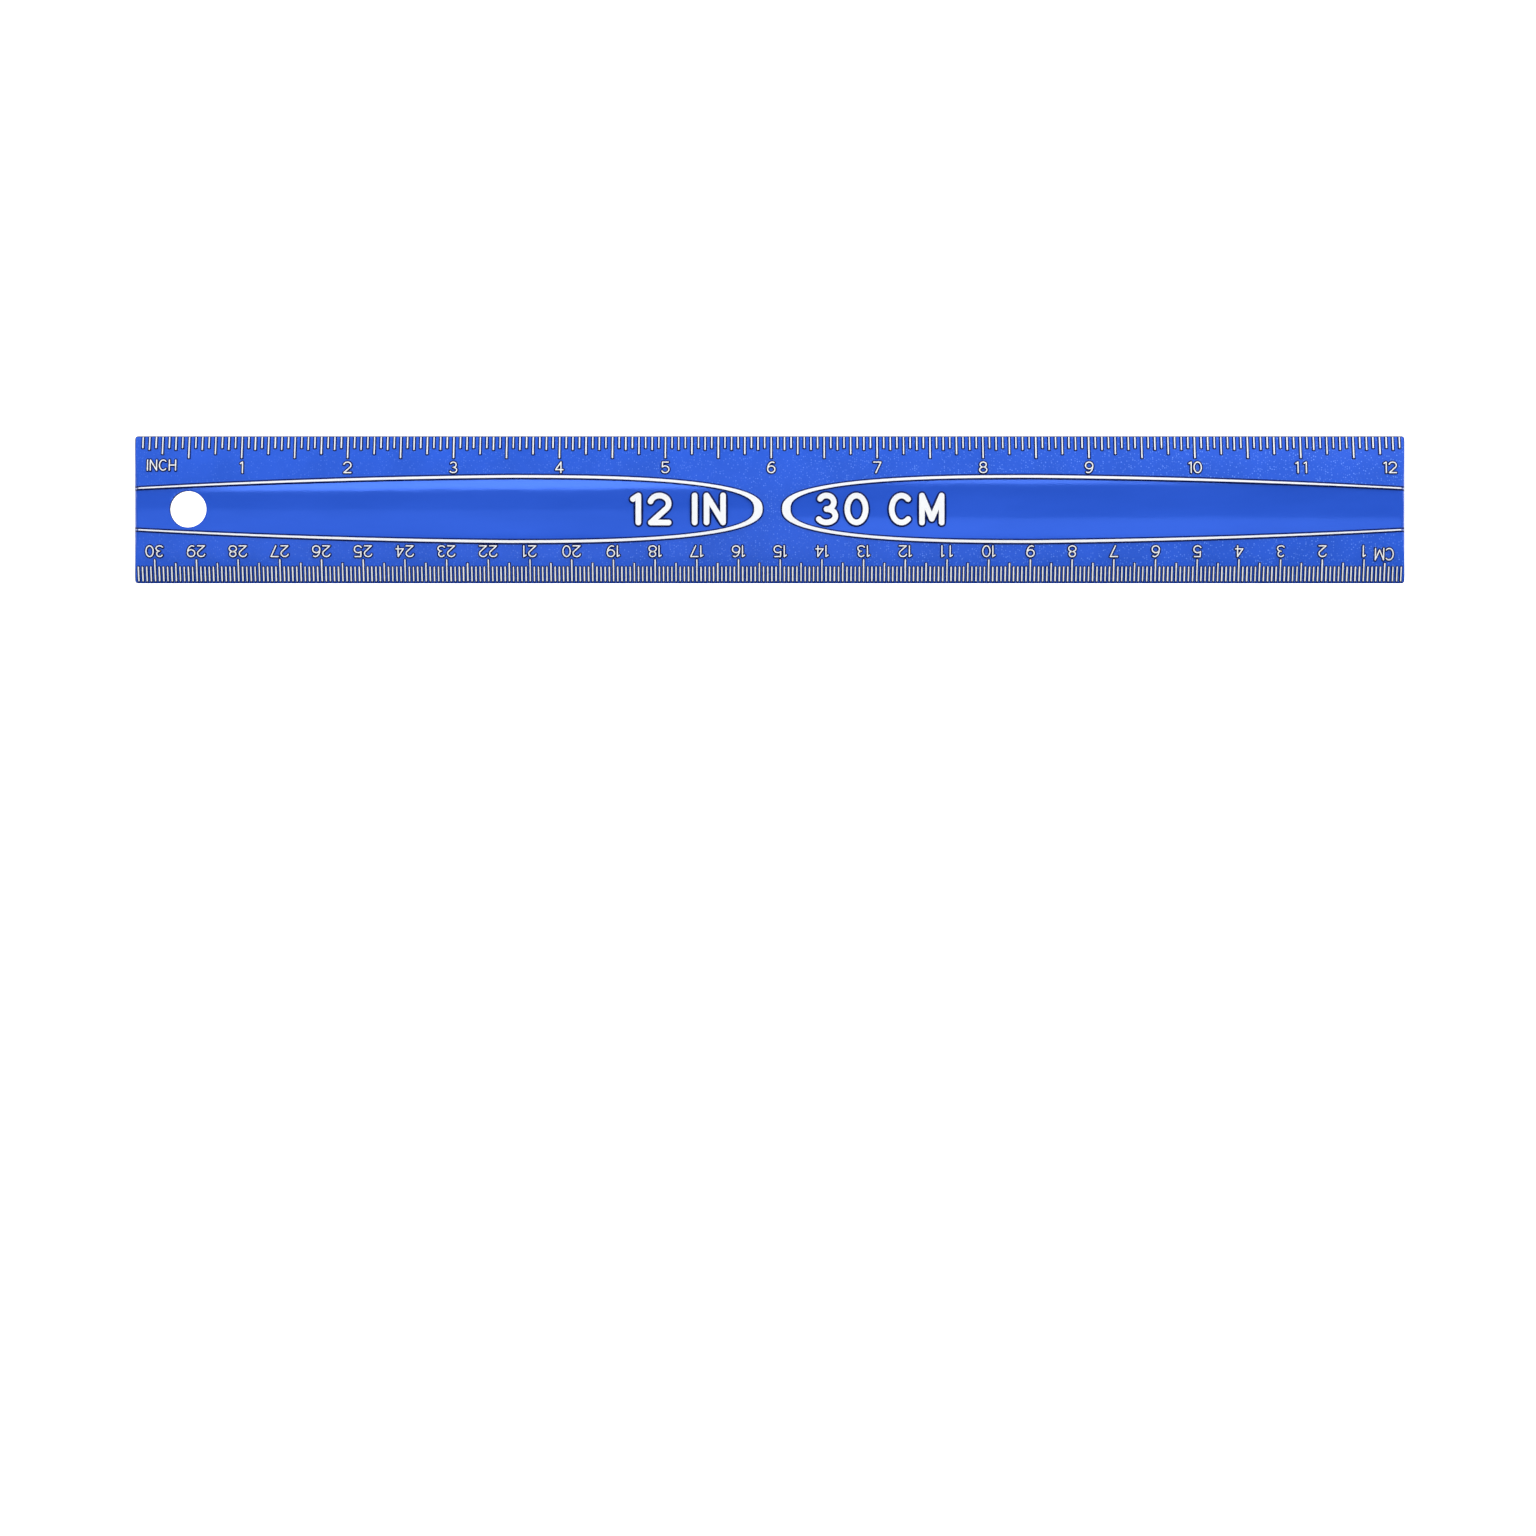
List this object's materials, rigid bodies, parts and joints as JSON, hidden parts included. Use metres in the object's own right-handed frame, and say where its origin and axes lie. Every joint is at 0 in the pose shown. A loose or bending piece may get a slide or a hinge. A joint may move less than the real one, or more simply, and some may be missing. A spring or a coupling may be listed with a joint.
{
  "type": "flexible ruler",
  "caption": "Flexible moulded ruler with raised inch and centimetre graduations, two scooped rimmed panels, a hang hole, and a blade that bends up or down into curves.",
  "frame": {"origin": "middle of the underside, at the middle of the length and of the width, on the surface it rests on", "axes": "+X runs from the inch zero to the centimetre zero, +Y points to the inch edge, +Z out of the marked face"},
  "size_m": [0.305, 0.0354, 0.0033],
  "materials": {
    "blue_vinyl": "soft moulded vinyl, fine matt grain on the margins, smooth in the panels",
    "white_foil": "white hot-stamped foil on the tops of the blue ribs"
  },
  "bodies": {
    "stretch_01": {"blade_01": "blue_vinyl", "inch_graduations_01": "white_foil", "centimetre_graduations_01": "white_foil"},
    "stretch_02": {"blade_02": "blue_vinyl", "inch_graduations_02": "white_foil", "centimetre_graduations_02": "white_foil"},
    "stretch_03": {"blade_03": "blue_vinyl", "inch_graduations_03": "white_foil", "centimetre_graduations_03": "white_foil"},
    "stretch_04": {"blade_04": "blue_vinyl", "inch_graduations_04": "white_foil", "centimetre_graduations_04": "white_foil"},
    "stretch_05": {"blade_05": "blue_vinyl", "inch_graduations_05": "white_foil", "centimetre_graduations_05": "white_foil"},
    "stretch_06": {"blade_06": "blue_vinyl", "inch_graduations_06": "white_foil", "centimetre_graduations_06": "white_foil"},
    "stretch_07": {"blade_07": "blue_vinyl", "inch_graduations_07": "white_foil", "centimetre_graduations_07": "white_foil"},
    "stretch_08": {"blade_08": "blue_vinyl", "inch_graduations_08": "white_foil", "centimetre_graduations_08": "white_foil"},
    "stretch_09": {"blade_09": "blue_vinyl", "inch_graduations_09": "white_foil", "centimetre_graduations_09": "white_foil"},
    "stretch_10": {"blade_10": "blue_vinyl", "inch_graduations_10": "white_foil", "centimetre_graduations_10": "white_foil"},
    "stretch_11": {"blade_11": "blue_vinyl", "inch_graduations_11": "white_foil", "centimetre_graduations_11": "white_foil"},
    "stretch_12": {"blade_12": "blue_vinyl", "inch_graduations_12": "white_foil", "centimetre_graduations_12": "white_foil"},
    "stretch_13": {"blade_13": "blue_vinyl", "inch_graduations_13": "white_foil", "centimetre_graduations_13": "white_foil"},
    "stretch_14": {"blade_14": "blue_vinyl", "inch_graduations_14": "white_foil", "centimetre_graduations_14": "white_foil"},
    "stretch_15": {"blade_15": "blue_vinyl", "inch_graduations_15": "white_foil", "centimetre_graduations_15": "white_foil"},
    "stretch_16": {"blade_16": "blue_vinyl", "inch_graduations_16": "white_foil", "centimetre_graduations_16": "white_foil"},
    "stretch_17": {"blade_17": "blue_vinyl", "inch_graduations_17": "white_foil", "centimetre_graduations_17": "white_foil"},
    "stretch_18": {"blade_18": "blue_vinyl", "inch_graduations_18": "white_foil", "centimetre_graduations_18": "white_foil"},
    "stretch_19": {"blade_19": "blue_vinyl", "inch_graduations_19": "white_foil", "centimetre_graduations_19": "white_foil"}
  },
  "joints": [
    {"name": "bend_01", "type": "hinge", "parent": "stretch_02", "child": "stretch_01", "pos_m": [-0.13062, 0, 0.00165], "axis": [0, 1, 0], "range_deg": [-17, 17], "stiffness_Nm_per_rad": 0.01},
    {"name": "bend_02", "type": "hinge", "parent": "stretch_03", "child": "stretch_02", "pos_m": [-0.11662, 0, 0.00165], "axis": [0, 1, 0], "range_deg": [-17, 17], "stiffness_Nm_per_rad": 0.01},
    {"name": "bend_03", "type": "hinge", "parent": "stretch_04", "child": "stretch_03", "pos_m": [-0.10062, 0, 0.00165], "axis": [0, 1, 0], "range_deg": [-17, 17], "stiffness_Nm_per_rad": 0.01},
    {"name": "bend_04", "type": "hinge", "parent": "stretch_05", "child": "stretch_04", "pos_m": [-0.08462, 0, 0.00165], "axis": [0, 1, 0], "range_deg": [-17, 17], "stiffness_Nm_per_rad": 0.01},
    {"name": "bend_05", "type": "hinge", "parent": "stretch_06", "child": "stretch_05", "pos_m": [-0.07062, 0, 0.00165], "axis": [0, 1, 0], "range_deg": [-17, 17], "stiffness_Nm_per_rad": 0.01},
    {"name": "bend_06", "type": "hinge", "parent": "stretch_07", "child": "stretch_06", "pos_m": [-0.05462, 0, 0.00165], "axis": [0, 1, 0], "range_deg": [-17, 17], "stiffness_Nm_per_rad": 0.01},
    {"name": "bend_07", "type": "hinge", "parent": "stretch_08", "child": "stretch_07", "pos_m": [-0.03862, 0, 0.00165], "axis": [0, 1, 0], "range_deg": [-17, 17], "stiffness_Nm_per_rad": 0.01},
    {"name": "bend_08", "type": "hinge", "parent": "stretch_09", "child": "stretch_08", "pos_m": [-0.02262, 0, 0.00165], "axis": [0, 1, 0], "range_deg": [-17, 17], "stiffness_Nm_per_rad": 0.01},
    {"name": "bend_09", "type": "hinge", "parent": "stretch_10", "child": "stretch_09", "pos_m": [-0.00862, 0, 0.00165], "axis": [0, 1, 0], "range_deg": [-17, 17], "stiffness_Nm_per_rad": 0.01},
    {"name": "bend_10", "type": "hinge", "parent": "stretch_10", "child": "stretch_11", "pos_m": [0.00738, 0, 0.00165], "axis": [0, -1, 0], "range_deg": [-17, 17], "stiffness_Nm_per_rad": 0.01},
    {"name": "bend_11", "type": "hinge", "parent": "stretch_11", "child": "stretch_12", "pos_m": [0.02338, 0, 0.00165], "axis": [0, -1, 0], "range_deg": [-17, 17], "stiffness_Nm_per_rad": 0.01},
    {"name": "bend_12", "type": "hinge", "parent": "stretch_12", "child": "stretch_13", "pos_m": [0.03938, 0, 0.00165], "axis": [0, -1, 0], "range_deg": [-17, 17], "stiffness_Nm_per_rad": 0.01},
    {"name": "bend_13", "type": "hinge", "parent": "stretch_13", "child": "stretch_14", "pos_m": [0.05338, 0, 0.00165], "axis": [0, -1, 0], "range_deg": [-17, 17], "stiffness_Nm_per_rad": 0.01},
    {"name": "bend_14", "type": "hinge", "parent": "stretch_14", "child": "stretch_15", "pos_m": [0.06938, 0, 0.00165], "axis": [0, -1, 0], "range_deg": [-17, 17], "stiffness_Nm_per_rad": 0.01},
    {"name": "bend_15", "type": "hinge", "parent": "stretch_15", "child": "stretch_16", "pos_m": [0.08538, 0, 0.00165], "axis": [0, -1, 0], "range_deg": [-17, 17], "stiffness_Nm_per_rad": 0.01},
    {"name": "bend_16", "type": "hinge", "parent": "stretch_16", "child": "stretch_17", "pos_m": [0.10138, 0, 0.00165], "axis": [0, -1, 0], "range_deg": [-17, 17], "stiffness_Nm_per_rad": 0.01},
    {"name": "bend_17", "type": "hinge", "parent": "stretch_17", "child": "stretch_18", "pos_m": [0.11538, 0, 0.00165], "axis": [0, -1, 0], "range_deg": [-17, 17], "stiffness_Nm_per_rad": 0.01},
    {"name": "bend_18", "type": "hinge", "parent": "stretch_18", "child": "stretch_19", "pos_m": [0.13138, 0, 0.00165], "axis": [0, -1, 0], "range_deg": [-17, 17], "stiffness_Nm_per_rad": 0.01}
  ],
  "couplings": [
    {"joint": "bend_01", "follows": "bend_02", "ratio": 1},
    {"joint": "bend_03", "follows": "bend_02", "ratio": 1},
    {"joint": "bend_04", "follows": "bend_05", "ratio": 1},
    {"joint": "bend_06", "follows": "bend_05", "ratio": 1},
    {"joint": "bend_07", "follows": "bend_08", "ratio": 1},
    {"joint": "bend_09", "follows": "bend_08", "ratio": 1},
    {"joint": "bend_10", "follows": "bend_11", "ratio": 1},
    {"joint": "bend_12", "follows": "bend_11", "ratio": 1},
    {"joint": "bend_13", "follows": "bend_14", "ratio": 1},
    {"joint": "bend_15", "follows": "bend_14", "ratio": 1},
    {"joint": "bend_16", "follows": "bend_17", "ratio": 1},
    {"joint": "bend_18", "follows": "bend_17", "ratio": 1}
  ]
}
